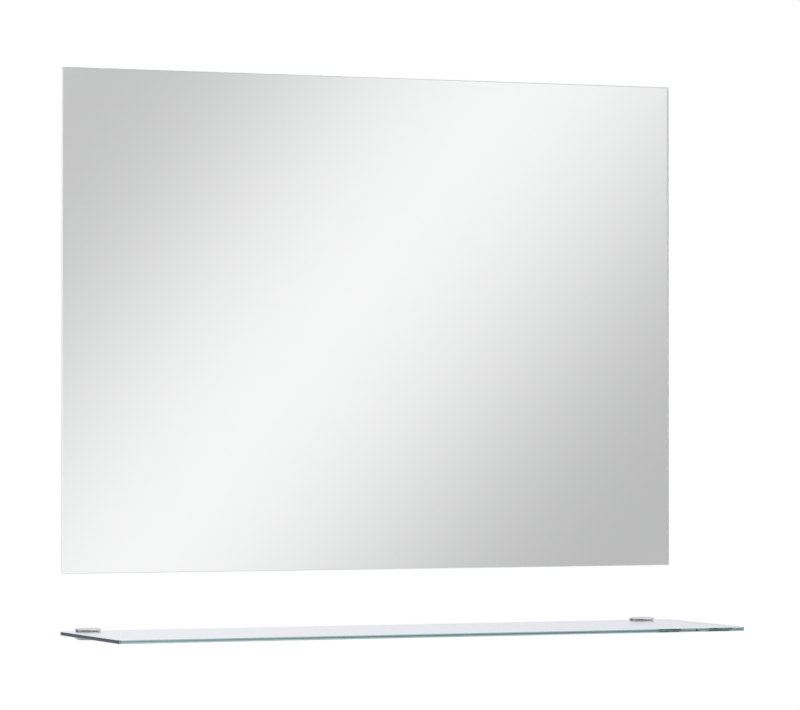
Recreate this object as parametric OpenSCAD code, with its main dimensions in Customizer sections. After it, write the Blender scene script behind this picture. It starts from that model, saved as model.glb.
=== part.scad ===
// Frameless wall mirror that hangs on two hidden keyhole plates, and below it a glass
// shelf that two half-round clamps hold to the wall.
// The wall is the plane y = 0 with the room at -Y. The origin lies midway between the
// two clamp screws. Millimetres.

/* [Mirror] */
// Width of the mirror
mirror_w = 800; // [600:50:1200]
// Height of the mirror
mirror_h = 600; // [400:50:900]
// Thickness of the mirror glass
mirror_t = 4; // [3:1:6]
// Clear height between the shelf and the mirror's lower edge
mirror_gap = 68; // [40:1:200]
// Distance from the mirror's back to the wall
mirror_standoff = 7; // [6.5:0.5:10]

/* [Shelf] */
// Width of the shelf
shelf_w = 800; // [600:50:1200]
// Depth of the shelf, from its rear edge to its front edge
shelf_d = 210; // [100:10:250]
// Thickness of the shelf glass
shelf_t = 5; // [4:0.5:5.5]
// Distance from the shelf's rear edge to the wall
shelf_back = 5; // [4.5:0.5:7]

/* [Glass edges] */
// Width of the arris ground along each edge of the shelf
shelf_arris = 0.75; // [0.2:0.05:1]
// Width of the arris ground along each edge of the mirror
mirror_arris = 0.5; // [0.2:0.05:1]
// Corner radius of the shelf
shelf_corner = 2; // [1:0.5:10]
// Corner radius of the mirror
mirror_corner = 1; // [1:0.5:10]

/* [Shelf clamps] */
// Width of a clamp along the wall
clamp_w = 30; // [26:1:40]
// Reach of a clamp from the wall
clamp_d = 22; // [21:1:30]
// Height of the mouth that takes the glass
mouth_h = 7; // [7:0.5:9]
// Thickness of the upper jaw
upper_jaw = 2.8; // [2.5:0.1:5]
// Thickness of the lower jaw
lower_jaw = 5; // [4.5:0.1:7]
// How far the crown of a jaw rises above its rim
crown = 0.9; // [0.3:0.1:1]
// Distance from the end of the shelf to the middle of a clamp
clamp_inset = 35; // [25:5:150]

/* [Hangers] */
// Side of the square hanger plate
plate_w = 60; // [50:5:80]
// Distance from the side of the mirror to a hanging screw
hanger_inset = 150; // [50:10:250]
// Distance from the top of the mirror down to a hanging screw
hanger_drop = 110; // [60:10:200]
// Height that the mirror is lifted by to come off its screws
hanger_lift = 10; // [8:0.5:10]

/* [Hidden] */

$fn = 64;
left = -1;
right = 1;
slack = 0.05;              // gap between pieces that run or turn in each other
over = 1;                  // how far a cutter runs past the face that it cuts

// layers of the mirror, counted from its back
paint_t = 0.2;
coating_t = 0.1;
coat_inset = 0.6;          // bare rim of glass round the coatings
mirror_back = -mirror_standoff;
paint_front = mirror_back - paint_t;
pane_back = paint_front - coating_t - slack;
pane_front = pane_back - mirror_t;

// shelf clamp
throat_t = 4;              // thickness of the clamp's back, behind the mouth
rim = 1.4;                 // rounding of the clamp's outer rims
lead = 0.4;                // lead-in round the mouth
clamp_top = mouth_h / 2 + upper_jaw;
clamp_bottom = -mouth_h / 2 - lower_jaw;
nose_r = clamp_w / 2;      // the front is a half circle of this radius
nose_y = nose_r - clamp_d;
crown_r = (nose_r * nose_r + crown * crown) / (2 * crown);
rim_x = nose_r - rim;      // middle of the rim's rounding, which runs smoothly into the crown
rim_drop = crown_r - sqrt((crown_r - rim) * (crown_r - rim) - rim_x * rim_x);
crown_end = crown_r * rim_x / (crown_r - rim);

// soft liners on the jaws
liner_t = 0.75;
liner_inset = 2;
rest_gap = 0.2;            // play between the lower liner and the clamped glass

// heights
shelf_top = mouth_h / 2 - liner_t - slack;
shelf_bottom = shelf_top - shelf_t;
rest_t = shelf_bottom + mouth_h / 2 - rest_gap;
mirror_bottom = shelf_top + mirror_gap;
mirror_top = mirror_bottom + mirror_h;
hanging_z = mirror_top - hanger_drop;

// set screw and its pressure pad
set_y = -(throat_t + clamp_d) / 2;
set_r = 2.5;               // M5 bore, plain
set_len = 5;
set_travel = 1.6;          // two turns of the thread
set_hex = 2.5;             // across the flats of the socket
set_hex_depth = 2.2;
set_point = 0.6;           // chamfer of the screw's point
pad_r = 4;
pad_web = 0.65;            // the pad's thickness over the screw's point
pad_skirt = 0.95;          // the pad's height round the screw's point
pad_top = shelf_bottom - slack;
pad_bottom = pad_top - pad_web - pad_skirt;
well_r = pad_r + 0.3;
well_floor = pad_bottom - set_travel - slack;
set_top = pad_top - pad_web - slack;

// screws and plugs in the wall
tip_len = 4;               // conical tip of a screw
tip_r = 0.2;
recess_w = 0.9;            // width of a cross recess
wall_screw_r = 1.75;
wall_screw_end = 27;       // depth that the screw reaches in the wall
wall_head_r = 3.2;
wall_hole_r = 2.1;
head_sink = 0.2;           // how far the head lies below the throat's face
hanging_screw_r = 2;
hanging_screw_end = 36;
hanging_head_r = 4;
hanging_head_h = 2.8;
hanging_crown_r = 7;       // radius of the pan head's crown
plug_r = 3;
long_plug = 30;
short_plug = 24;
plug_plain = 0.3;          // share of a plug's length before its split
plug_split = 1.2;
groove_depth = 0.4;
groove_w = 1;
groove_step = 3.5;

// hanger plate
sheet_t = 1;
tape_t = 1;
plate_corner = 6;
plate_front = mirror_back + tape_t;
boss_back = -1;            // the boss stays clear of the wall
boss_h = boss_back - plate_front;
boss_base_r = 20;
boss_top_r = 16;
boss_wall = 1.2;           // the drawn wall, measured across the boss
slot_r = 2.3;              // narrow end of the keyhole
hole_r = 4.5;              // wide end, which passes the screw's head
slot_end_z = hanging_z - slot_r + hanging_screw_r + slack;
plate_z = slot_end_z - hanger_lift / 2;

// bumpers at the foot of the mirror
bumper_rim_r = 11;
bumper_rim_h = 1.5;
bumper_r = 9.5;
bumper_edge = 1.5;
bumper_inset = 45;

// ---- places ----

module at_hanging_screw(side) {
    translate([side * (mirror_w / 2 - hanger_inset), 0, hanging_z]) children();
}

module at_plate(side) {
    translate([side * (mirror_w / 2 - hanger_inset), 0, plate_z]) children();
}

module at_foot(side) {
    translate([side * (mirror_w / 2 - bumper_inset), 0, mirror_bottom + bumper_inset]) children();
}

module at_clamp(side) {
    translate([side * (shelf_w / 2 - clamp_inset), 0, 0]) children();
}

// Turns a shape made along +Z so that it runs into the wall from depth y
module into_wall(y = 0) {
    translate([0, y, 0]) rotate([-90, 0, 0]) children();
}

// ---- shared shapes ----

// Rectangle about the origin with true arcs at its corners
module round_rect(w, h, r) {
    square([w - 2 * r, h], center = true);
    square([w, h - 2 * r], center = true);
    for (x = [-1, 1], y = [-1, 1])
        translate([x * (w / 2 - r), y * (h / 2 - r)]) circle(r);
}

// Rectangle about the origin with its corners cut off at 45 degrees
module cut_rect(w, h, c) {
    x = w / 2;
    y = h / 2;
    polygon([
        [c - x, -y], [x - c, -y], [x, c - y], [x, y - c],
        [x - c, y], [c - x, y], [-x, y - c], [-x, c - y]
    ]);
}

// Sheet of glass lying in XY about the origin: rounded corners and an arris along every edge
module arrised_pane(w, d, t, corner, arris) {
    intersection() {
        linear_extrude(t, center = true) round_rect(w, d, corner);
        rotate([90, 0, 0]) linear_extrude(d + over, center = true) cut_rect(w, t, arris);
        rotate([90, 0, 90]) linear_extrude(w + over, center = true) cut_rect(d, t, arris);
    }
}

// Upright sheet about the origin, between two depths
module upright_sheet(front, back, w, h, corner) {
    translate([0, back, 0]) rotate([90, 0, 0]) linear_extrude(back - front) round_rect(w, h, corner);
}

// Cross recess, cut down from z = 0 with flanks that lean in
module cross_recess(reach, depth) {
    intersection() {
        union() {
            translate([-reach, -recess_w / 2, -over]) cube([2 * reach, recess_w, depth + over]);
            translate([-recess_w / 2, -reach, -over]) cube([recess_w, 2 * reach, depth + over]);
        }
        translate([0, 0, -over])
            cylinder(r1 = reach + over / 2, r2 = recess_w / 2, h = depth + over);
    }
}

// Plain shank from one depth to another, ending in a cone
module shank(r, from, to) {
    translate([0, 0, from]) cylinder(r = r, h = to - tip_len - from);
    translate([0, 0, to - tip_len]) cylinder(r1 = r, r2 = tip_r, h = tip_len);
}

// ---- mirror ----

module mirror_pane() {
    color([0.86, 0.9, 0.88, 0.4])
        translate([0, (pane_front + pane_back) / 2, mirror_bottom + mirror_h / 2])
        rotate([90, 0, 0])
        arrised_pane(mirror_w, mirror_h, mirror_t, mirror_corner, mirror_arris);
}

// Layer on the back of the glass that leaves its rim bare
module coat(front, back) {
    translate([0, 0, mirror_bottom + mirror_h / 2])
        upright_sheet(front, back, mirror_w - 2 * coat_inset, mirror_h - 2 * coat_inset, mirror_corner);
}

module silver_coating() {
    color("silver") coat(paint_front - coating_t, paint_front);
}

module backing_paint() {
    color([0.45, 0.5, 0.5]) coat(paint_front, mirror_back);
}

// Cone of the boss, drawn towards the wall; the inner one leaves the sheet's thickness
module boss_cone(r, from, to) {
    slope = (boss_base_r - boss_top_r) / boss_h;
    translate([0, 0, from]) cylinder(r1 = r - slope * from, r2 = r - slope * to, h = to - from);
}

// Keyhole: the wide end passes the head, the narrow end rests on the shank
module keyhole(depth) {
    translate([0, hanger_lift / 2, 0]) cylinder(r = hole_r, h = depth);
    translate([0, -hanger_lift / 2, 0]) cylinder(r = slot_r, h = depth);
    translate([-slot_r, -hanger_lift / 2, 0]) cube([2 * slot_r, hanger_lift, depth]);
}

// Stamped steel plate with a round drawn boss, which holds the screw's head inside it
module hanger_plate() {
    color([0.74, 0.76, 0.78])
        difference() {
            union() {
                upright_sheet(plate_front, plate_front + sheet_t, plate_w, plate_w, plate_corner);
                into_wall(plate_front) boss_cone(boss_base_r, 0, boss_h);
            }
            into_wall(plate_front) boss_cone(boss_base_r - boss_wall, -over, boss_h - sheet_t);
            into_wall(boss_back - sheet_t - over) keyhole(sheet_t + 2 * over);
        }
}

// Foam tape that bonds a plate to the mirror, open round the boss
module hanger_tape() {
    color([0.92, 0.92, 0.9])
        difference() {
            upright_sheet(mirror_back, plate_front, plate_w, plate_w, plate_corner);
            into_wall(mirror_back - over) cylinder(r = boss_base_r, h = tape_t + 2 * over);
        }
}

// Rubber buffer: a glued rim, and a rounded face that rests on the wall
module bumper() {
    color([0.2, 0.2, 0.21])
        into_wall(mirror_back) rotate_extrude() {
            square([bumper_rim_r, bumper_rim_h]);
            square([bumper_r, mirror_standoff - bumper_edge]);
            square([bumper_r - bumper_edge, mirror_standoff]);
            translate([bumper_r - bumper_edge, mirror_standoff - bumper_edge]) circle(bumper_edge);
        }
}

// ---- fasteners ----

// Pan-head screw: the head stands inside the boss, and the shank runs through the keyhole
module hanging_screw() {
    head_y = boss_back - sheet_t - slack - hanging_head_h;
    color([0.8, 0.81, 0.83])
        into_wall(head_y) difference() {
            union() {
                intersection() {
                    cylinder(r = hanging_head_r, h = hanging_head_h);
                    translate([0, 0, hanging_crown_r]) sphere(hanging_crown_r);
                }
                shank(hanging_screw_r, hanging_head_h / 2, hanging_screw_end - head_y);
            }
            cross_recess(2.3, 1.9);
        }
}

// Countersunk screw: its head lies in the throat of the clamp
module wall_screw() {
    head_y = head_sink - throat_t;
    head_h = wall_head_r - wall_screw_r;
    color([0.8, 0.81, 0.83])
        into_wall(head_y) difference() {
            union() {
                cylinder(r1 = wall_head_r, r2 = wall_screw_r, h = head_h);
                shank(wall_screw_r, head_h / 2, wall_screw_end - head_y);
            }
            cross_recess(1.9, 1.5);
        }
}

// Nylon plug: plain at its mouth, then split and grooved so that it spreads in the hole
module plug(screw_r, length) {
    split_z = plug_plain * length;
    grooves = floor((length - split_z - groove_w) / groove_step);
    color([0.62, 0.64, 0.66])
        into_wall() difference() {
            cylinder(r = plug_r, h = length);
            translate([0, 0, -over]) cylinder(r = screw_r + slack, h = length + 2 * over);
            translate([-plug_split / 2, -plug_r - over, split_z])
                cube([plug_split, 2 * (plug_r + over), length]);
            for (i = [0 : grooves - 1])
                translate([0, 0, split_z + groove_w + i * groove_step]) groove();
        }
}

// Ring cut round the outside of a plug
module groove() {
    difference() {
        cylinder(r = plug_r + over, h = groove_w);
        translate([0, 0, -over]) cylinder(r = plug_r - groove_depth, h = groove_w + 2 * over);
    }
}

// ---- shelf and its clamps ----

module shelf_pane() {
    color([0.78, 0.9, 0.88, 0.4])
        translate([0, -shelf_back - shelf_d / 2, (shelf_top + shelf_bottom) / 2])
        arrised_pane(shelf_w, shelf_d, shelf_t, shelf_corner, shelf_arris);
}

// Sweeps a section (x outward, y up) round the clamp's plan: the half-round nose and both sides
module round_clamp_plan() {
    translate([0, nose_y, 0]) rotate([0, 0, 180]) rotate_extrude(angle = 180) children();
    rotate([90, 0, 0]) linear_extrude(-nose_y) {
        children();
        mirror([1, 0]) children();
    }
}

// Half of the clamp's section: its top and bottom are crowned, and its rims are rounded
module clamp_section() {
    intersection() {
        translate([0, clamp_bottom]) square([crown_end, clamp_top - clamp_bottom]);
        translate([0, clamp_top - crown_r]) circle(crown_r, $fn = 720);
        translate([0, clamp_bottom + crown_r]) circle(crown_r, $fn = 720);
    }
    translate([0, clamp_bottom + rim_drop])
        square([nose_r, clamp_top - clamp_bottom - 2 * rim_drop]);
    for (z = [clamp_bottom + rim_drop, clamp_top - rim_drop])
        translate([rim_x, z]) circle(rim);
}

// Mouth at the outer face, which opens outwards
module lead_in_section() {
    z = mouth_h / 2;
    polygon([
        [nose_r - lead, -z], [nose_r + over, -z - lead - over],
        [nose_r + over, z + lead + over], [nose_r - lead, z]
    ]);
}

// Slot that takes the glass, with a lead-in all the way round
module mouth() {
    translate([-clamp_w, -clamp_d - over, -mouth_h / 2])
        cube([2 * clamp_w, clamp_d + over - throat_t, mouth_h]);
    intersection() {
        round_clamp_plan() lead_in_section();
        translate([-clamp_w, -clamp_d - over, clamp_bottom])
            cube([2 * clamp_w, clamp_d + over - throat_t, clamp_top - clamp_bottom]);
    }
}

// Chrome-plated zinc casting
module clamp() {
    sink_r = wall_head_r + head_sink + slack;
    color([0.83, 0.84, 0.86])
        difference() {
            round_clamp_plan() clamp_section();
            mouth();
            // countersunk hole for the wall screw
            into_wall(-throat_t - over) cylinder(r = wall_hole_r, h = throat_t + 2 * over);
            into_wall(-throat_t) cylinder(r1 = sink_r, r2 = wall_hole_r, h = sink_r - wall_hole_r);
            // bore of the set screw, and above it the well of its pad
            translate([0, set_y, clamp_bottom - over]) cylinder(r = set_r, h = lower_jaw + 2 * over);
            translate([0, set_y, well_floor]) cylinder(r = well_r, h = mouth_h);
        }
}

// Outline of a liner: the jaw's own outline, drawn in
module liner_outline() {
    r = nose_r - liner_inset;
    intersection() {
        union() {
            translate([0, nose_y]) circle(r);
            translate([-r, nose_y]) square([2 * r, -nose_y]);
        }
        translate([-r, -clamp_d]) square([2 * r, clamp_d - throat_t - liner_inset / 2]);
    }
}

// Clear liner glued under the upper jaw
module clamp_liner() {
    color([0.9, 0.92, 0.93, 0.7])
        translate([0, 0, shelf_top + slack]) linear_extrude(liner_t) liner_outline();
}

// Clear liner on the lower jaw, open round the pressure pad
module rest_liner() {
    color([0.9, 0.92, 0.93, 0.7])
        difference() {
            translate([0, 0, -mouth_h / 2]) linear_extrude(rest_t) liner_outline();
            translate([0, set_y, -mouth_h]) cylinder(r = well_r, h = 2 * mouth_h);
        }
}

// Nylon cup that sits on the set screw's point
module pressure_pad() {
    color([0.93, 0.93, 0.91])
        translate([0, set_y, pad_bottom]) difference() {
            cylinder(r = pad_r, h = pad_skirt + pad_web);
            translate([0, 0, -over]) cylinder(r = set_r, h = pad_skirt + over);
        }
}

// Headless screw with a hexagon socket in its lower end
module set_screw() {
    body_r = set_r - slack;
    color([0.35, 0.36, 0.38])
        translate([0, set_y, set_top - set_len]) difference() {
            union() {
                cylinder(r = body_r, h = set_len - set_point);
                translate([0, 0, set_len - set_point])
                    cylinder(r1 = body_r, r2 = body_r - set_point, h = set_point);
            }
            translate([0, 0, -over]) cylinder(d = set_hex / cos(30), h = set_hex_depth + over, $fn = 6);
        }
}

mirror_pane();
silver_coating();
backing_paint();
at_plate(left) hanger_plate();  // hanger_plate_left
at_plate(right) hanger_plate();  // hanger_plate_right
at_plate(left) hanger_tape();  // hanger_tape_left
at_plate(right) hanger_tape();  // hanger_tape_right
at_foot(left) bumper();  // bumper_left
at_foot(right) bumper();  // bumper_right
at_hanging_screw(left) hanging_screw();  // hanging_screw_left
at_hanging_screw(right) hanging_screw();  // hanging_screw_right
at_hanging_screw(left) plug(hanging_screw_r, long_plug);  // hanging_plug_left
at_hanging_screw(right) plug(hanging_screw_r, long_plug);  // hanging_plug_right
shelf_pane();
at_clamp(left) clamp();  // clamp_left
at_clamp(right) clamp();  // clamp_right
at_clamp(left) clamp_liner();  // clamp_liner_left
at_clamp(right) clamp_liner();  // clamp_liner_right
at_clamp(left) rest_liner();  // rest_liner_left
at_clamp(right) rest_liner();  // rest_liner_right
at_clamp(left) pressure_pad();  // pressure_pad_left
at_clamp(right) pressure_pad();  // pressure_pad_right
at_clamp(left) set_screw();  // set_screw_left
at_clamp(right) set_screw();  // set_screw_right
at_clamp(left) wall_screw();  // wall_screw_left
at_clamp(right) wall_screw();  // wall_screw_right
at_clamp(left) plug(wall_screw_r, short_plug);  // wall_plug_left
at_clamp(right) plug(wall_screw_r, short_plug);  // wall_plug_right
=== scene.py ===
import math

import bmesh
import bpy
from mathutils import Matrix, Vector


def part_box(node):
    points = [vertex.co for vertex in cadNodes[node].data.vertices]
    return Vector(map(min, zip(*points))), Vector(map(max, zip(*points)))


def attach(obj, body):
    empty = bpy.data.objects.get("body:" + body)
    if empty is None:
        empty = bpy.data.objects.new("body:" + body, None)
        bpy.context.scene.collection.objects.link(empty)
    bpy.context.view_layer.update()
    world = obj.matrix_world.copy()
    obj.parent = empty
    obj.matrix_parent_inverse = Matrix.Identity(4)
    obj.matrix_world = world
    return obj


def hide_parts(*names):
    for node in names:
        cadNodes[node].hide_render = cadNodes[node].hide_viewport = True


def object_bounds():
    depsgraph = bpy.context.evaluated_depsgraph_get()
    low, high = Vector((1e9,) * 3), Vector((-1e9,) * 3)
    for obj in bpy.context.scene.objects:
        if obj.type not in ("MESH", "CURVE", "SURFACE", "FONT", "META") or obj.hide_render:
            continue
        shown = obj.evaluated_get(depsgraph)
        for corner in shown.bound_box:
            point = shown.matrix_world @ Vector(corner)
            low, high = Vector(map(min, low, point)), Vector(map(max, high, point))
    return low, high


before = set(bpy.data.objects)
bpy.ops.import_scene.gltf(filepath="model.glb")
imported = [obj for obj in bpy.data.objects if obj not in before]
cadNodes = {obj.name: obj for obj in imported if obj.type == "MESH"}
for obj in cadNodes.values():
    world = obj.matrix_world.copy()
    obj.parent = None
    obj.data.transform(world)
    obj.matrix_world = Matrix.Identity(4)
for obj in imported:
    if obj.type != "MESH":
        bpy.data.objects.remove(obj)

scene = bpy.context.scene
cadLow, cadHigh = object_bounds()
print("loaded", len(cadNodes), "pieces from the frame")

mm = 0.001
fullTurn = 2 * math.pi


def middleOf(node):
    low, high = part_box(node)
    return (low + high) / 2


# fitted to the corners of the mirror and the shelf: metres, degrees and a sensor in millimetres
cameraSettings = {
    "place": (-1.9813, -4.7820, 0.2547),
    "yaw": 22.895,
    "pitch": 0.855,
    "roll": 0.028,
    "focalPixels": 4238.9,
    "imageWidth": 800,
    "sensor": 36.0,
    "nearest": 0.1,
    "farthest": 200.0,
}


def cameraAxes(settings):
    yaw, pitch, roll = [math.radians(settings[name]) for name in ("yaw", "pitch", "roll")]
    ahead = Vector((math.sin(yaw) * math.cos(pitch), math.cos(yaw) * math.cos(pitch), math.sin(pitch)))
    level = Vector((math.cos(yaw), -math.sin(yaw), 0))
    upright = level.cross(ahead)
    right = level * math.cos(roll) + upright * math.sin(roll)
    up = upright * math.cos(roll) - level * math.sin(roll)
    return right, up, ahead


def makeCamera(settings):
    right, up, ahead = cameraAxes(settings)
    data = bpy.data.cameras.new("camera")
    data.sensor_width = settings["sensor"]
    data.lens = settings["focalPixels"] * settings["sensor"] / settings["imageWidth"]
    data.clip_start = settings["nearest"]
    data.clip_end = settings["farthest"]
    holder = bpy.data.objects.new("camera", data)
    scene.collection.objects.link(holder)
    turned = Matrix((right, up, -ahead)).transposed().to_4x4()
    holder.matrix_world = Matrix.Translation(settings["place"]) @ turned
    scene.camera = holder


makeCamera(cameraSettings)
print("camera placed")


# One output socket: arithmetic on it adds the node that works the sum out
class Wire:
    def __init__(self, bench, socket):
        self.bench = bench
        self.socket = socket

    def __add__(self, other):
        return self.bench.reckon("ADD", self, other)

    def __radd__(self, other):
        return self.bench.reckon("ADD", other, self)

    def __sub__(self, other):
        return self.bench.reckon("SUBTRACT", self, other)

    def __rsub__(self, other):
        return self.bench.reckon("SUBTRACT", other, self)

    def __mul__(self, other):
        return self.bench.reckon("MULTIPLY", self, other)

    def __rmul__(self, other):
        return self.bench.reckon("MULTIPLY", other, self)

    def __truediv__(self, other):
        return self.bench.reckon("DIVIDE", self, other)

    def __rtruediv__(self, other):
        return self.bench.reckon("DIVIDE", other, self)

    def __gt__(self, other):
        return self.bench.reckon("GREATER_THAN", self, other)

    def __lt__(self, other):
        return self.bench.reckon("LESS_THAN", self, other)

    def __abs__(self):
        return self.bench.reckon("ABSOLUTE", self)


# Finds a socket by its place in the row, its identifier, or the name that shows
def findSocket(sockets, key):
    if isinstance(key, int):
        return sockets[key]
    for socket in sockets:
        if socket.identifier == key:
            return socket
    for socket in sockets:
        if socket.name == key and socket.enabled:
            return socket
    raise KeyError(key)


# A node tree being written
class Bench:
    def __init__(self, tree):
        self.tree = tree

    # any node: its settings go first, then what its sockets hold or are joined to
    def add(self, kind, settings=None, values=None, out=0):
        node = self.tree.nodes.new(kind)
        for name, value in (settings or {}).items():
            setattr(node, name, value)
        for key, value in (values or {}).items():
            socket = findSocket(node.inputs, key)
            if isinstance(value, Wire):
                self.tree.links.new(value.socket, socket)
            elif socket.type == "RGBA":
                socket.default_value = (*value, 1.0)
            else:
                socket.default_value = value
        if not node.outputs:
            return None
        return Wire(self, findSocket(node.outputs, out))

    # any node of which several outputs are wanted
    def addMany(self, kind, names, values=None):
        node = self.add(kind, None, values).socket.node
        return [Wire(self, node.outputs[name]) for name in names]

    # sums on numbers use Math, and sums with a colour or a place use Vector Math
    def reckon(self, operation, *values):
        def isWide(value):
            if isinstance(value, Wire):
                return value.socket.type in {"RGBA", "VECTOR"}
            return isinstance(value, (tuple, list, Vector))

        if any(isWide(value) for value in values):
            whole = {
                place: value if isinstance(value, Wire) or isWide(value) else (value,) * 3
                for place, value in enumerate(values)
            }
            return self.add("ShaderNodeVectorMath", {"operation": operation}, whole)
        return self.add("ShaderNodeMath", {"operation": operation}, dict(enumerate(values)))

    def dot(self, first, second):
        sockets = {0: first, 1: second}
        return self.add("ShaderNodeVectorMath", {"operation": "DOT_PRODUCT"}, sockets, "Value")

    def clamp(self, value, low=0.0, high=1.0):
        return self.add("ShaderNodeClamp", None, {"Value": value, "Min": low, "Max": high})

    # 0 as far as start, 1 from whole on, and smooth between
    def ease(self, value, start, whole):
        sockets = {"Value": value, "From Min": start, "From Max": whole}
        return self.add("ShaderNodeMapRange", {"interpolation_type": "SMOOTHSTEP"}, sockets)

    def mixColour(self, share, first, second):
        sockets = {"Factor_Float": share, "A_Color": first, "B_Color": second}
        return self.add("ShaderNodeMix", {"data_type": "RGBA"}, sockets, "Result_Color")

    def mixNumber(self, share, first, second):
        sockets = {"Factor_Float": share, "A_Float": first, "B_Float": second}
        return self.add("ShaderNodeMix", {"data_type": "FLOAT"}, sockets, "Result_Float")

    def mixShader(self, share, first, second):
        return self.add("ShaderNodeMixShader", None, {0: share, 1: first, 2: second})

    def split(self, value):
        return self.addMany("ShaderNodeSeparateXYZ", ("X", "Y", "Z"), {0: value})

    def noise(self, place, size, detail=2.0, roughness=0.5, out="Fac"):
        sockets = {"Vector": place, "Scale": 1 / size, "Detail": detail, "Roughness": roughness}
        return self.add("ShaderNodeTexNoise", None, sockets, out)

    def cells(self, place, size, out="Distance"):
        return self.add("ShaderNodeTexVoronoi", None, {"Vector": place, "Scale": 1 / size}, out)

    def bump(self, height, depth, strength, facing=None):
        sockets = {"Height": height, "Distance": depth, "Strength": strength}
        if facing:
            sockets["Normal"] = facing
        return self.add("ShaderNodeBump", None, sockets)


# A new material with an empty bench
class Finish(Bench):
    def __init__(self, name):
        self.material = bpy.data.materials.new(name)
        self.material.use_nodes = True
        super().__init__(self.material.node_tree)
        self.tree.nodes.clear()
        self.place = self.add("ShaderNodeTexCoord", out="Object")

    def principled(self, values):
        return self.add("ShaderNodeBsdfPrincipled", None, values)

    def soaking(self, settings):
        depths = {"Color": settings["soaked"], "Density": settings["density"]}
        return self.add("ShaderNodeVolumeAbsorption", None, depths)

    def close(self, shader, volume=None):
        ends = {"Surface": shader}
        if volume:
            ends["Volume"] = volume
        self.add("ShaderNodeOutputMaterial", None, ends)
        return self.material


def grey(tone):
    return (tone, tone, tone)


black = grey(0.0)
white = grey(1.0)

# a pair is where something starts and where it is whole, as one part of a ray's direction
studio = {
    "plainLight": 0.74,          # what soft surfaces receive from all round
    "panelTop": 0.9625,          # the soft panels that the mirror reflects
    "panelRidge": -0.0175,       # where they are brightest
    "leftSwing": 0.198,          # either side of the ridge has a width and a depth of its own
    "leftPeriod": 0.1574,
    "rightSwing": 0.2295,
    "rightPeriod": 0.1765,
    "across": 0.7883,            # how the bands lean across the picture
    "along": -0.6153,
    "broadPeriod": 1.3,          # metal curves too much for the fine bands, so it shows broad ones
    "fineLevel": (0.35, 0.2),    # and so does the mirror, for what is far up or down
    "roomSide": (0.03, -0.03),   # the panels are in front of the object, and a wall is behind it
    "leftWall": (0.88, 0.875, 0.93),
    "rightWall": (0.775, 0.78, 0.835),
    "wallTurn": (0.28, 0.5),
    "dusk": (0.72, 0.72, 0.745),  # a darker band that metal sees low on the wall
    "duskRise": (0.07, 0.14),
    "duskFade": (0.4, 0.2),
    "duskDepth": (0.1, 0.4),
    "leftShade": 0.42,           # how much darker metal sees the room to the left
    "shadeTurn": (-0.1, -0.6),
    "ceiling": 0.95,
    "ceilingRise": (0.25, 0.6),
    "ground": 0.34,              # what metal shows of the floor
    "groundFall": (-0.25, -0.6),
}


def makeWorld(settings):
    world = bpy.data.worlds.new("studio")
    world.use_nodes = True
    world.cycles.sampling_method = "NONE"
    scene.world = world
    bench = Bench(world.node_tree)
    bench.tree.nodes.clear()
    aim = bench.add("ShaderNodeTexCoord", out="Generated")
    rays = ("Is Camera Ray", "Is Glossy Ray", "Is Transmission Ray", "Glossy Depth")
    isCamera, isGlossy, isThrough, glossyDepth = bench.addMany("ShaderNodeLightPath", rays)
    # a ray that comes out of glass counts as glossy too, so this leaves the rays off a surface
    offSurface = isGlossy * (1.0 - isThrough)
    # the panels' bands lean as they do in the mirror, which turns them front to back
    right, up = cameraAxes(cameraSettings)[:2]
    flip = Vector((1, -1, 1))
    lean = right * flip * settings["across"] + up * flip * settings["along"]
    sweep = bench.dot(aim, lean) - settings["panelRidge"]
    isRight = sweep > 0.0
    period = bench.mixNumber(isRight, settings["leftPeriod"], settings["rightPeriod"])
    swing = bench.mixNumber(isRight, settings["leftSwing"], settings["rightSwing"])
    fine = bench.reckon("COSINE", sweep / period * fullTurn)
    broad = bench.reckon("COSINE", sweep / settings["broadPeriod"] * fullTurn)
    x, y, z = bench.split(aim)
    isFine = bench.ease(abs(z), *settings["fineLevel"]) * (1.0 - offSurface)
    panel = (bench.mixNumber(isFine, broad, fine) - 1.0) * swing + settings["panelTop"]
    # then the wall behind the object
    turn = bench.ease(x, *settings["wallTurn"])
    wall = bench.mixColour(turn, settings["leftWall"], settings["rightWall"])
    reflected = bench.mixColour(bench.ease(y, *settings["roomSide"]), wall, panel)
    low = bench.ease(z, *settings["duskRise"]) * bench.ease(z, *settings["duskFade"])
    dusk = low * bench.ease(y, *settings["duskDepth"]) * offSurface
    reflected = bench.mixColour(dusk, reflected, settings["dusk"])
    shade = bench.ease(x, *settings["shadeTurn"]) * offSurface * settings["leftShade"]
    reflected = bench.mixColour(shade, reflected, black)
    # then what is overhead and underfoot
    high = bench.ease(z, *settings["ceilingRise"])
    reflected = bench.mixColour(high, reflected, grey(settings["ceiling"]))
    deep = bench.ease(z, *settings["groundFall"]) * offSurface
    reflected = bench.mixColour(deep, reflected, grey(settings["ground"]))
    # what is seen straight, or straight through glass, is white
    mirrored = bench.clamp(offSurface + isThrough * (glossyDepth > 0.5))
    straight = bench.clamp(isCamera + isThrough * (glossyDepth < 0.5))
    tone = bench.mixColour(mirrored, grey(settings["plainLight"]), reflected)
    tone = bench.mixColour(straight, tone, white)
    background = bench.add("ShaderNodeBackground", None, {"Color": tone, "Strength": 1.0})
    bench.add("ShaderNodeOutputWorld", None, {"Surface": background})


studioFloor = {
    "depth": -1.0,
    "size": 12.0,
    "tone": 0.92,
    "lift": 0.3,                 # how far it shines of itself, so that it comes out white
}


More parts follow.
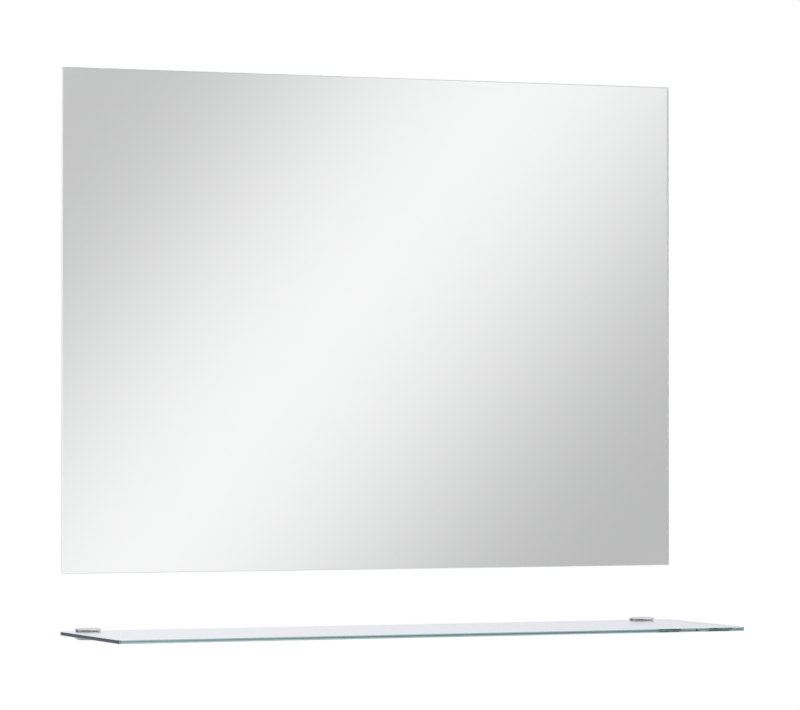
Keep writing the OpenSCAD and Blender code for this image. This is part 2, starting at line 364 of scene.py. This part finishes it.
def makeFloor(settings):
    half = settings["size"] / 2
    mesh = bpy.data.meshes.new("floor")
    corners = [(-half, -half), (half, -half), (half, half), (-half, half)]
    mesh.from_pydata([(x, y, settings["depth"]) for x, y in corners], [], [(0, 1, 2, 3)])
    floor = bpy.data.objects.new("floor", mesh)
    scene.collection.objects.link(floor)
    floor.visible_glossy = False
    floor.visible_transmission = False
    paint = Finish("floor_paint")
    matt = paint.add("ShaderNodeBsdfDiffuse", None, {"Color": grey(settings["tone"])})
    lift = paint.add("ShaderNodeEmission", None, {"Color": white, "Strength": settings["lift"]})
    none = paint.add("ShaderNodeEmission", None, {"Strength": 0.0})
    isCamera = paint.add("ShaderNodeLightPath", out="Is Camera Ray")
    lifted = paint.mixShader(isCamera, none, lift)
    both = paint.add("ShaderNodeAddShader", None, {0: matt, 1: lifted})
    # from below the floor is clear, so that the object shows
    under = paint.add("ShaderNodeNewGeometry", out="Backfacing")
    clear = paint.add("ShaderNodeBsdfTransparent")
    mesh.materials.append(paint.close(paint.mixShader(under, both, clear)))


lamps = [
    {"name": "key", "place": (-2.6, -3.4, 3.0), "size": 2.4, "power": 95.0},
    {"name": "rear", "place": (2.4, 3.6, 2.6), "size": 2.4, "power": 75.0},
]


def makeLamps(rows):
    target = (cadLow + cadHigh) / 2
    for row in rows:
        data = bpy.data.lights.new(row["name"], "AREA")
        data.shape = "DISK"
        data.size = row["size"]
        data.energy = row["power"]
        lamp = bpy.data.objects.new(row["name"], data)
        scene.collection.objects.link(lamp)
        lamp.location = row["place"]
        away = Vector(row["place"]) - target
        lamp.rotation_euler = away.to_track_quat("Z", "Y").to_euler()
        lamp.visible_camera = False
        lamp.visible_glossy = False
        lamp.visible_transmission = False


scene.view_settings.view_transform = "Standard"
scene.cycles.max_bounces = 24
scene.cycles.glossy_bounces = 16
scene.cycles.transmission_bounces = 20
makeWorld(studio)
makeFloor(studioFloor)
makeLamps(lamps)
print("studio lit")

glassIndex = 1.52

# in all the finishes the sizes of patterns are in metres, the least roughness is the one that
# the others add to, and a pair is where something starts and where it is whole

shelfGlass = {
    "faces": (0.965, 0.985, 0.98),
    # the front edge's tint at the left end, then with painted shade towards the right and near the far
    # right end
    "leftEdge": (0.98, 1.0, 1.0),
    "rightEdgeShade": (0.82, 0.95, 0.90),
    "farEdgeShade": (0.62, 0.70, 0.68),
    "rightRun": (0.1, 0.6),      # along the shelf, from 0 at its left end to 1 at its right
    "farRun": (0.84, 0.97),
    "frontTurn": (-0.8, -0.95),
    "soaked": (0.38, 0.56, 0.57),  # the colour that the depth of the glass takes on
    "density": 6.2,
    "smearSize": 0.05,
    "smearRough": 0.004,
    "grindSize": 0.0004,
    "endShadeDark": (0.02, 0.036, 0.055),
    "endShadeLight": (0.03, 0.046, 0.065),
    "endRough": 0.25,
    "endGrindRough": 0.1,
    "endShine": 0.15,
    "endTurn": (0.5, 0.6),
    "endShadeCover": 0.9,
    "arrisDark": (0.78, 0.91, 0.92),
    "arrisLight": (0.88, 0.95, 0.955),
    "arrisRough": 0.45,
    "arrisGrindRough": 0.2,
    "arrisDepth": 0.00003,
    "arrisStrength": 0.6,
    "arrisStart": (0.2, 0.4),
    "arrisStop": (0.95, 0.85),
    "upperCover": 0.88,          # how far a ground arris hides the glass behind it
    "lowerCover": 0.3,
}


def paintShelfGlass(settings):
    paint = Finish("shelf_glass")
    low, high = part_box("shelf_pane")
    # the front edge has the glass's green tint plus painted shade: darker towards the right end, and darker
    # still near the far right
    run = (paint.split(paint.place)[0] - low.x) / (high.x - low.x)
    rightward = paint.ease(run, *settings["rightRun"])
    edgeTintAndShade = paint.mixColour(rightward, settings["leftEdge"], settings["rightEdgeShade"])
    edgeTintAndShade = paint.mixColour(paint.ease(run, *settings["farRun"]), edgeTintAndShade, settings["farEdgeShade"])
    # the front edge, by the way its surface faces
    facing = paint.split(paint.add("ShaderNodeNewGeometry", out="Normal"))
    front = paint.ease(facing[1], *settings["frontTurn"])
    smear = paint.noise(paint.place, settings["smearSize"], detail=3.0)
    glass = paint.principled({
        "Base Color": paint.mixColour(front, settings["faces"], edgeTintAndShade),
        "Roughness": smear * settings["smearRough"],
        "IOR": glassIndex,
        "Transmission Weight": 1.0,
    })
    # the two ends and their corners are painted near-black: painted shade, for the dark look that the deep
    # glass behind them gives
    grind = paint.noise(paint.place, settings["grindSize"], detail=3.0)
    dark = paint.principled({
        "Base Color": paint.mixColour(grind, settings["endShadeDark"], settings["endShadeLight"]),
        "Roughness": grind * settings["endGrindRough"] + settings["endRough"],
        "Specular IOR Level": settings["endShine"],
    })
    # from inside, the rays meet clear glass everywhere
    outside = 1.0 - paint.add("ShaderNodeNewGeometry", out="Backfacing")
    end = paint.ease(abs(facing[0]), *settings["endTurn"]) * outside * settings["endShadeCover"]
    body = paint.mixShader(end, glass, dark)
    # the arris is ground, so that it scatters the light
    frost = paint.principled({
        "Base Color": paint.mixColour(grind, settings["arrisDark"], settings["arrisLight"]),
        "Roughness": grind * settings["arrisGrindRough"] + settings["arrisRough"],
        "Normal": paint.bump(grind, settings["arrisDepth"], settings["arrisStrength"]),
    })
    slope = abs(facing[2])
    cover = paint.mixNumber(facing[2] > 0.0, settings["lowerCover"], settings["upperCover"])
    sloping = paint.ease(slope, *settings["arrisStart"]) * paint.ease(slope, *settings["arrisStop"])
    rim = paint.mixShader(sloping * outside * cover, body, frost)
    return paint.close(rim, paint.soaking(settings))


mirrorGlass = {
    "soaked": (0.70, 0.74, 0.73),
    "density": 4.0,
    "smearSize": 0.2,
    "smearRough": 0.002,
    "grindSize": 0.0004,
    "groundDark": (0.80, 0.82, 0.815),
    "groundLight": (0.87, 0.885, 0.88),
    "groundRough": 0.5,
    "grindRough": 0.2,
    "groundShine": 0.3,
    "groundDepth": 0.00003,
    "groundStrength": 0.6,
    "groundTurn": (0.92, 0.85),
    "groundCover": 0.9,
    "innerCover": 0.3,           # seen from inside, the ground edge still reflects like glass
}


def paintMirrorGlass(settings):
    paint = Finish("mirror_glass")
    facing = paint.split(paint.add("ShaderNodeNewGeometry", out="Normal"))
    smear = paint.noise(paint.place, settings["smearSize"])
    glass = paint.principled({
        "Base Color": white,
        "Roughness": smear * settings["smearRough"],
        "IOR": glassIndex,
        "Transmission Weight": 1.0,
    })
    # the edges are ground and not polished, so they show pale
    grind = paint.noise(paint.place, settings["grindSize"], detail=3.0)
    ground = paint.principled({
        "Base Color": paint.mixColour(grind, settings["groundDark"], settings["groundLight"]),
        "Roughness": grind * settings["grindRough"] + settings["groundRough"],
        "Specular IOR Level": settings["groundShine"],
        "Normal": paint.bump(grind, settings["groundDepth"], settings["groundStrength"]),
    })
    inside = paint.add("ShaderNodeNewGeometry", out="Backfacing")
    cover = paint.mixNumber(inside, settings["groundCover"], settings["innerCover"])
    edge = paint.ease(abs(facing[1]), *settings["groundTurn"]) * cover
    return paint.close(paint.mixShader(edge, glass, ground), paint.soaking(settings))


silvering = {
    "dark": (0.955, 0.96, 0.96),
    "light": (0.965, 0.965, 0.965),
    "cloudSize": 0.12,
    "cloudRough": 0.01,
}


def paintSilvering(settings):
    paint = Finish("silvering")
    cloud = paint.noise(paint.place, settings["cloudSize"])
    return paint.close(paint.principled({
        "Base Color": paint.mixColour(cloud, settings["dark"], settings["light"]),
        "Metallic": 1.0,
        "Roughness": cloud * settings["cloudRough"],
    }))


backing = {
    "dark": (0.20, 0.235, 0.235),
    "light": (0.245, 0.28, 0.275),
    "rough": 0.46,
    "cloudSize": 0.09,
    "cloudRough": 0.1,
    "speck": (0.33, 0.36, 0.35),
    "speckSize": 0.011,
    "speckEdge": (0.10, 0.04),
    "speckCover": 0.35,
    "peelSize": 0.0016,
    "peelRough": 0.14,
    "peelDepth": 0.00005,
    "peelStrength": 0.6,
}


def paintBacking(settings):
    paint = Finish("backing_paint")
    cloud = paint.noise(paint.place, settings["cloudSize"], detail=4.0, roughness=0.6)
    tone = paint.mixColour(cloud, settings["dark"], settings["light"])
    speck = paint.ease(paint.cells(paint.place, settings["speckSize"]), *settings["speckEdge"])
    peel = paint.noise(paint.place, settings["peelSize"])
    return paint.close(paint.principled({
        "Base Color": paint.mixColour(speck * settings["speckCover"], tone, settings["speck"]),
        "Roughness": peel * settings["peelRough"] + settings["rough"] + cloud * settings["cloudRough"],
        "Normal": paint.bump(peel, settings["peelDepth"], settings["peelStrength"]),
    }))


chrome = {
    "dark": (0.76, 0.765, 0.78),
    "light": (0.80, 0.805, 0.815),
    "rough": 0.05,
    "rippleSize": 0.004,
    "rippleDepth": 0.00003,
    "rippleStrength": 0.5,
    "hazeSize": 0.0011,
    "hazeRough": 0.05,
    # painted shade in the mouth, and the roughness given there
    "bare": (0.25, 0.26, 0.27),
    "bareRough": 0.25,
    # bounds of the mouth in metres: out from the clamp's middle, up and down, and off the wall
    "mouthSides": (0.0149, 0.0147),
    "mouthHeight": (0.0036, 0.00345),
    "mouthBack": (-0.001, -0.0012),
    "isLevel": 0.9999,           # upright part of a normal above which a face counts as level
}


def paintChrome(settings):
    paint = Finish("clamp_chrome")
    ripple = paint.noise(paint.place, settings["rippleSize"])
    haze = paint.noise(paint.place, settings["hazeSize"], detail=3.0, roughness=0.6)
    plate = paint.mixColour(ripple, settings["dark"], settings["light"])
    # the mouth is painted dark and made rougher: painted shade in the recess between the jaws
    x, y, z = paint.split(paint.place)
    fromMiddle = abs(x) - abs(middleOf("clamp_left").x)  # of either clamp
    within = paint.ease(abs(fromMiddle), *settings["mouthSides"])
    inMouth = paint.ease(abs(z), *settings["mouthHeight"]) * within * paint.ease(y, *settings["mouthBack"])
    # the smooth normals go wrong where a crown is level, so the faces' own normals are used there
    smooth, flat = paint.addMany("ShaderNodeNewGeometry", ("Normal", "True Normal"))
    level = abs(paint.split(flat)[2]) > settings["isLevel"]
    facing = smooth + (flat - smooth) * level
    return paint.close(paint.principled({
        "Base Color": paint.mixColour(inMouth, plate, settings["bare"]),
        "Metallic": 1.0,
        "Roughness": haze * settings["hazeRough"] + settings["rough"] + inMouth * settings["bareRough"],
        "Normal": paint.bump(ripple, settings["rippleDepth"], settings["rippleStrength"], facing),
    }))


galvanised = {
    "dark": (0.50, 0.52, 0.54),
    "light": (0.64, 0.66, 0.68),
    "metallic": 0.92,
    "rough": 0.3,
    "spangleSize": 0.0021,
    "spangleTone": 0.7,          # share of the tone that the spangles settle
    "spangleRough": 0.14,
    "spangleRise": 0.4,
    "stirSize": 1 / 700,
    "stir": 0.0012,              # how far the spangles' borders wander
    "grainSize": 0.0004,
    "grainTone": 0.3,
    "grainRough": 0.12,
    "grainDepth": 0.00002,
    "grainStrength": 0.5,
}


def paintGalvanised(settings):
    paint = Finish("galvanised_steel")
    stir = paint.noise(paint.place, settings["stirSize"], out="Color")
    wandering = paint.place + (stir - 0.5) * settings["stir"]
    shade = paint.split(paint.cells(wandering, settings["spangleSize"], "Color"))[0]
    grain = paint.noise(paint.place, settings["grainSize"], detail=4.0)
    share = shade * settings["spangleTone"] + grain * settings["grainTone"]
    rise = grain + shade * settings["spangleRise"]
    return paint.close(paint.principled({
        "Base Color": paint.mixColour(share, settings["dark"], settings["light"]),
        "Metallic": settings["metallic"],
        "Roughness": shade * settings["spangleRough"] + grain * settings["grainRough"] + settings["rough"],
        "Normal": paint.bump(rise, settings["grainDepth"], settings["grainStrength"]),
    }))


# finishes with a slow cloud in the tone, and a fine grain in the roughness and the relief
zincPlate = {
    "dark": (0.62, 0.65, 0.70),
    "light": (0.74, 0.74, 0.71),
    "metallic": 1.0,
    "rough": 0.2,
    "cloudSize": 0.005,
    "grainSize": 0.0004,
    "grainDetail": 2.0,
    "grainRough": 0.16,
    "grainDepth": 0.00002,
    "grainStrength": 0.4,
}
blackOxide = {
    "dark": (0.028, 0.028, 0.031),
    "light": (0.06, 0.06, 0.064),
    "metallic": 0.75,
    "rough": 0.32,
    "cloudSize": 0.0015,
    "grainSize": 0.0003,
    "grainDetail": 2.0,
    "grainRough": 0.2,
    "grainDepth": 0.00002,
    "grainStrength": 0.4,
}
rubber = {
    "dark": (0.022, 0.022, 0.024),
    "light": (0.042, 0.042, 0.045),
    "rough": 0.55,
    "cloudSize": 0.006,
    "grainSize": 0.0006,
    "grainDetail": 3.0,
    "grainRough": 0.2,
    "grainDepth": 0.00006,
    "grainStrength": 0.6,
}
padNylon = {
    "dark": (0.78, 0.78, 0.74),
    "light": (0.86, 0.86, 0.83),
    "rough": 0.35,
    "glow": 0.15,                # how much light spreads inside, and how far in metres
    "glowReach": 0.001,
    "cloudSize": 0.004,
    "grainSize": 0.0005,
    "grainDetail": 2.0,
    "grainRough": 0.2,
    "grainDepth": 0.00003,
    "grainStrength": 0.5,
}
plugNylon = {
    **padNylon,
    "dark": (0.34, 0.36, 0.39),
    "light": (0.42, 0.44, 0.47),
    "rough": 0.45,
}


def paintPlain(name, settings):
    paint = Finish(name)
    cloud = paint.noise(paint.place, settings["cloudSize"], detail=3.0)
    grain = paint.noise(paint.place, settings["grainSize"], settings["grainDetail"])
    values = {
        "Base Color": paint.mixColour(cloud, settings["dark"], settings["light"]),
        "Roughness": grain * settings["grainRough"] + settings["rough"],
        "Normal": paint.bump(grain, settings["grainDepth"], settings["grainStrength"]),
    }
    if "metallic" in settings:
        values["Metallic"] = settings["metallic"]
    if "glow" in settings:
        values["Subsurface Weight"] = settings["glow"]
        values["Subsurface Scale"] = settings["glowReach"]
    return paint.close(paint.principled(values))


liner = {
    "dark": (0.89, 0.90, 0.91),
    "light": (0.95, 0.96, 0.965),
    "rough": 0.22,
    "cloudSize": 0.003,
    "cloudRough": 0.15,
    "index": 1.45,
    "clearness": 0.3,
}


def paintLiner(settings):
    paint = Finish("clear_liner")
    cloud = paint.noise(paint.place, settings["cloudSize"], detail=3.0)
    return paint.close(paint.principled({
        "Base Color": paint.mixColour(cloud, settings["dark"], settings["light"]),
        "Roughness": cloud * settings["cloudRough"] + settings["rough"],
        "IOR": settings["index"],
        "Transmission Weight": settings["clearness"],
    }))


foam = {
    "dark": (0.74, 0.74, 0.71),
    "light": (0.84, 0.84, 0.81),
    "rough": 0.86,
    "cloudSize": 0.006,
    "cloudRough": 0.08,
    # painted shade in the pores
    "poreShade": (0.5, 0.5, 0.48),
    "poreSize": 0.0007,
    "poreEdge": (0.35, 0.1),
    "poreCover": 0.5,
    "poreDepth": 0.0002,
    "poreStrength": 0.7,
}


def paintFoam(settings):
    paint = Finish("foam_tape")
    pores = paint.cells(paint.place, settings["poreSize"])
    cloud = paint.noise(paint.place, settings["cloudSize"], detail=3.0)
    tone = paint.mixColour(cloud, settings["dark"], settings["light"])
    # the pores are painted darker: painted shade in their pits
    cover = paint.ease(pores, *settings["poreEdge"]) * settings["poreCover"]
    return paint.close(paint.principled({
        "Base Color": paint.mixColour(cover, tone, settings["poreShade"]),
        "Roughness": cloud * settings["cloudRough"] + settings["rough"],
        "Normal": paint.bump(pores, settings["poreDepth"], settings["poreStrength"]),
    }))


def dress(material, *names):
    for name in names:
        for slot in cadNodes[name].material_slots:
            slot.material = material


dress(paintShelfGlass(shelfGlass), "shelf_pane")
dress(paintMirrorGlass(mirrorGlass), "mirror_pane")
dress(paintSilvering(silvering), "silver_coating")
dress(paintBacking(backing), "backing_paint")
dress(paintChrome(chrome), "clamp_left", "clamp_right")
dress(paintGalvanised(galvanised), "hanger_plate_left", "hanger_plate_right")
dress(paintFoam(foam), "hanger_tape_left", "hanger_tape_right")
dress(paintPlain("bumper_rubber", rubber), "bumper_left", "bumper_right")
dress(paintLiner(liner), "clamp_liner_left", "clamp_liner_right", "rest_liner_left", "rest_liner_right")
dress(paintPlain("pad_nylon", padNylon), "pressure_pad_left", "pressure_pad_right")
dress(paintPlain("plug_nylon", plugNylon),
      "hanging_plug_left", "hanging_plug_right", "wall_plug_left", "wall_plug_right")
zinc = paintPlain("zinc_screw", zincPlate)
blackSteel = paintPlain("black_steel", blackOxide)
print("finishes made")

weldReach = 0.001 * mm           # points of a shank that are nearer than this become one
leastTip = 0.04                  # share of the radius that is left at a shank's point
sharpAngle = math.radians(32)    # an edge between faces that turn by more than this is sharp


# Geometry Nodes tree of a threaded shank: a grid is rolled round +Z, and its rows past
# the first and before the last close in on the axis, so that both ends are shut
def threadTree():
    tree = bpy.data.node_groups.new("thread", "GeometryNodeTree")
    face = tree.interface
    face.new_socket("Geometry", in_out="INPUT", socket_type="NodeSocketGeometry")
    face.new_socket("Geometry", in_out="OUTPUT", socket_type="NodeSocketGeometry")
    for name in ("Length", "Crest", "Root", "Neck", "Neck Length", "Pitch", "Tip", "Ridge"):
        face.new_socket(name, in_out="INPUT", socket_type="NodeSocketFloat")
    for name in ("Rows", "Columns"):
        face.new_socket(name, in_out="INPUT", socket_type="NodeSocketInt")
    face.new_socket("Material", in_out="INPUT", socket_type="NodeSocketMaterial")
    bench = Bench(tree)
    given = bench.add("NodeGroupInput").socket.node

    def take(name):
        return Wire(bench, given.outputs[name])

    sizes = {"Size X": 1.0, "Size Y": 1.0, "Vertices X": take("Columns"), "Vertices Y": take("Rows")}
    grid = bench.add("GeometryNodeMeshGrid", None, sizes)
    x, y = bench.split(bench.add("GeometryNodeInputPosition"))[:2]
    turn = x + 0.5
    row = (y + 0.5) * (take("Rows") - 1.0)
    along = bench.clamp((row - 1.0) / (take("Rows") - 3.0)) * take("Length")
    # the whole turns that are added keep the sum above 0
    saw = bench.reckon("FRACT", along / take("Pitch") - turn + 10.0)
    flank = abs(saw - 0.5) * 2.0
    ridge = bench.clamp((flank - 1.0) / take("Ridge") + 1.0)
    started = bench.clamp((along - take("Neck Length")) / take("Pitch"))
    threaded = take("Root") + (take("Crest") - take("Root")) * ridge
    radius = bench.mixNumber(started, take("Neck"), threaded)
    tapered = bench.clamp((take("Length") - along) / take("Tip"), leastTip)
    inside = (row > 0.5) * (row < take("Rows") - 1.5)
    radius = radius * tapered * inside
    angle = turn * fullTurn
    rolled = bench.add("ShaderNodeCombineXYZ", None, {
        "X": radius * bench.reckon("COSINE", angle),
        "Y": radius * bench.reckon("SINE", angle),
        "Z": along,
    })
    shaped = bench.add("GeometryNodeSetPosition", None, {"Geometry": grid, "Position": rolled})
    closed = bench.add("GeometryNodeMergeByDistance", None, {"Geometry": shaped, "Distance": weldReach})
    solid = bench.add("GeometryNodeRealizeInstances", None, {"Geometry": closed})
    painted = bench.add("GeometryNodeSetMaterial", None, {"Geometry": solid, "Material": take("Material")})
    bench.add("NodeGroupOutput", None, {"Geometry": painted})
    return tree


thread = threadTree()


# The screws' dictionaries and this length are in millimetres
def growShank(settings, length, material):
    holder = bpy.data.objects.new("thread_seed", bpy.data.meshes.new("thread_seed"))
    scene.collection.objects.link(holder)
    maker = holder.modifiers.new("thread", "NODES")
    maker.node_group = thread
    keys = {item.name: item.identifier for item in thread.interface.items_tree if item.in_out == "INPUT"}
    values = {
        "Length": length * mm,
        "Crest": settings["crest"] * mm,
        "Root": settings["root"] * mm,
        "Neck": settings["neck"] * mm,
        "Neck Length": settings["neckLength"] * mm,
        "Pitch": settings["pitch"] * mm,
        "Tip": settings["tip"] * mm,
        "Ridge": settings["ridge"],
        "Rows": int(length / settings["pitch"] * settings["rowsPerTurn"]),
        "Columns": settings["columns"],
        "Material": material,
    }
    for name, value in values.items():
        maker[keys[name]] = value
    bpy.context.view_layer.update()
    grown = holder.evaluated_get(bpy.context.evaluated_depsgraph_get())
    mesh = bpy.data.meshes.new_from_object(grown)
    holder.modifiers.remove(maker)
    bpy.data.objects.remove(holder)
    return mesh


def meshFrom(form, name):
    mesh = bpy.data.meshes.new(name)
    form.to_mesh(mesh)
    form.free()
    return mesh


# Solid of revolution about +Z from (radius, height) pairs that start and end on the axis
def turnProfile(profile, sides=64):
    form = bmesh.new()
    turns = [fullTurn * side / sides for side in range(sides)]
    rings = []
    for radius, height in profile:
        around = turns if radius > 0 else turns[:1]
        places = [(radius * math.cos(turn), radius * math.sin(turn), height) for turn in around]
        rings.append([form.verts.new(place) for place in places])
    for lower, upper in zip(rings, rings[1:]):
        for side in range(sides):
            after = (side + 1) % sides
            corners = [lower[side % len(lower)], lower[after % len(lower)],
                       upper[after % len(upper)], upper[side % len(upper)]]
            form.faces.new(list(dict.fromkeys(corners)))  # on the axis two corners are one
    bmesh.ops.recalc_face_normals(form, faces=form.faces)
    return meshFrom(form, "turned")


bitOver = 1.0 * mm               # how far a bit stands out of the face that it cuts
hexPoint = 0.5 * mm              # depth of the drill's point past the flats of a hex socket


# Cross bit whose flanks lean in with depth, pointing along +Z from above the head's face
def crossBit(reach, depth, width):
    form = bmesh.new()
    top = reach + bitOver / 2
    tip = width / 2
    corners = [(-top, -bitOver), (top, -bitOver), (tip, depth), (-tip, depth)]
    for turn in (0, math.pi / 2):
        near = [form.verts.new((x, -width / 2, z)) for x, z in corners]
        far = [form.verts.new((x, width / 2, z)) for x, z in corners]
        faces = [near, far]
        for index in range(4):
            after = (index + 1) % 4
            faces.append([near[index], near[after], far[after], far[index]])
        for face in faces:
            form.faces.new(face)
        bmesh.ops.rotate(form, verts=near + far, cent=(0, 0, 0), matrix=Matrix.Rotation(turn, 3, "Z"))
    bmesh.ops.recalc_face_normals(form, faces=form.faces)
    return meshFrom(form, "bit")


def hexBit(across, depth):
    radius = across / 2 / math.cos(math.radians(30))
    return turnProfile([(0, -bitOver), (radius, -bitOver), (radius, depth), (0, depth + hexPoint)], sides=6)


def cutWith(mesh, bit):
    block = bpy.data.objects.new("block", mesh)
    cutter = bpy.data.objects.new("cutter", bit)
    scene.collection.objects.link(block)
    scene.collection.objects.link(cutter)
    cut = block.modifiers.new("cut", "BOOLEAN")
    cut.operation = "DIFFERENCE"
    cut.solver = "EXACT"
    cut.use_self = True
    cut.object = cutter
    bpy.context.view_layer.update()
    result = bpy.data.meshes.new_from_object(block.evaluated_get(bpy.context.evaluated_depsgraph_get()))
    bpy.data.objects.remove(block)
    bpy.data.objects.remove(cutter)
    return result


def makePiece(name, meshes, material, body, stands):
    form = bmesh.new()
    for mesh, place in meshes:
        part = mesh.copy()
        part.transform(place)
        form.from_mesh(part)
        bpy.data.meshes.remove(part)
    whole = meshFrom(form, name)
    whole.materials.clear()
    whole.materials.append(material)
    for face in whole.polygons:
        face.material_index = 0
    whole.shade_smooth()
    whole.set_sharp_from_angle(angle=sharpAngle)
    piece = bpy.data.objects.new(name, whole)
    scene.collection.objects.link(piece)
    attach(piece, body)
    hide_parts(stands)
    return piece


intoWall = Matrix.Rotation(math.radians(-90), 4, "X")


# A head with a cross recess and the shank behind it, lying along +Y in the wall
def driveScrew(settings, name, profile, stands):
    head = turnProfile([(radius * mm, height * mm) for radius, height in profile])
    head = cutWith(head, crossBit(*[size * mm for size in settings["recess"]]))
    shank = growShank(settings, settings["end"] - settings["headFace"] - settings["start"], zinc)
    middle = middleOf(stands)
    place = Matrix.Translation((middle.x, settings["headFace"] * mm, middle.z)) @ intoWall
    shankPlace = place @ Matrix.Translation((0, 0, settings["start"] * mm))
    piece = makePiece(name, [(head, place), (shank, shankPlace)], zinc, "wall_side", stands)


wallScrew = {
    "headFace": -3.8,            # places from the wall's face, which is at 0
    "end": 27.0,
    "headRadius": 3.2,
    "rim": 0.12,                 # the rim's rounding, and the heights where it is widest and ends
    "rimHeight": 0.048,
    "rimFoot": 0.22,
    "collar": 0.4,               # straight piece of the head behind its cone
    "start": 1.0,                # where the shank begins, behind the head's face
    "crest": 1.75,
    "root": 1.2,
    "neck": 1.5,
    "neckLength": 2.2,
    "pitch": 1.6,
    "ridge": 0.55,               # share of the pitch that a ridge takes
    "tip": 4.5,
    "rowsPerTurn": 12,
    "columns": 33,
    "recess": (1.9, 1.5, 0.9),   # the cross's reach, depth and width
}


def makeWallScrew(settings, side):
    radius, rim, crest = settings["headRadius"], settings["rim"], settings["crest"]
    coneFoot = radius - crest    # the cone leans by 45 degrees
    end = coneFoot + settings["collar"]
    profile = [(0, 0), (radius - rim, 0), (radius, settings["rimHeight"]),
               (radius - rim, settings["rimFoot"]), (crest, coneFoot), (crest, end), (0, end)]
    driveScrew(settings, "countersunk_screw_" + side, profile, "wall_screw_" + side)


hangingScrew = {
    "headFace": -4.85,
    "end": 36.0,
    "headRadius": 4.0,
    "headHeight": 2.8,
    "crown": 7.0,                # radius of the head's rounded face
    "crownSteps": 10,
    "crownInset": 0.3,           # where the crown ends, in from the rim
    "bendInset": 0.08,           # and the two points that bend it round into the head's side
    "bendHeight": 0.02,
    "sideHeight": 0.25,
    "footRound": 0.15,
    "start": 2.4,
    "crest": 2.0,
    "root": 1.4,
    "neck": 1.9,
    "neckLength": 5.0,
    "pitch": 1.8,
    "ridge": 0.55,
    "tip": 5.0,
    "rowsPerTurn": 12,
    "columns": 33,
    "recess": (2.3, 1.9, 0.9),
}


def makeHangingScrew(settings, side):
    rim, foot, soft = settings["headRadius"], settings["headHeight"], settings["footRound"]

    def crownAt(radius):
        return settings["crown"] - math.sqrt(settings["crown"] ** 2 - radius ** 2)

    steps = settings["crownSteps"]
    radii = [(rim - settings["crownInset"]) * step / steps for step in range(1, steps + 1)]
    profile = [(0, 0)] + [(radius, crownAt(radius)) for radius in radii]
    profile += [(rim - settings["bendInset"], crownAt(rim) + settings["bendHeight"]),
                (rim, crownAt(rim) + settings["sideHeight"]),
                (rim, foot - soft), (rim - soft, foot), (0, foot)]
    driveScrew(settings, "pan_head_screw_" + side, profile, "hanging_screw_" + side)


setScrew = {
    "crest": 2.45,
    "root": 2.0,
    "neck": 2.1,
    "neckLength": 0.1,
    "pitch": 0.8,
    "ridge": 0.85,
    "tip": 0.48,
    "rowsPerTurn": 14,
    "columns": 49,
    "socket": (2.5, 1.7),        # the hex socket's width across its flats, and its depth
}


def makeSetScrew(settings, side):
    low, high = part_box("set_screw_" + side)
    centre = Vector(((low.x + high.x) / 2, (low.y + high.y) / 2, low.z))
    body = growShank(settings, (high.z - low.z) / mm, blackSteel)
    body = cutWith(body, hexBit(*[size * mm for size in settings["socket"]]))
    piece = makePiece("threaded_set_screw_" + side, [(body, Matrix.Translation(centre))], blackSteel,
                      "screw_" + side, "set_screw_" + side)


for side in ("left", "right"):
    makeWallScrew(wallScrew, side)
    makeHangingScrew(hangingScrew, side)
    makeSetScrew(setScrew, side)
print("screws made")
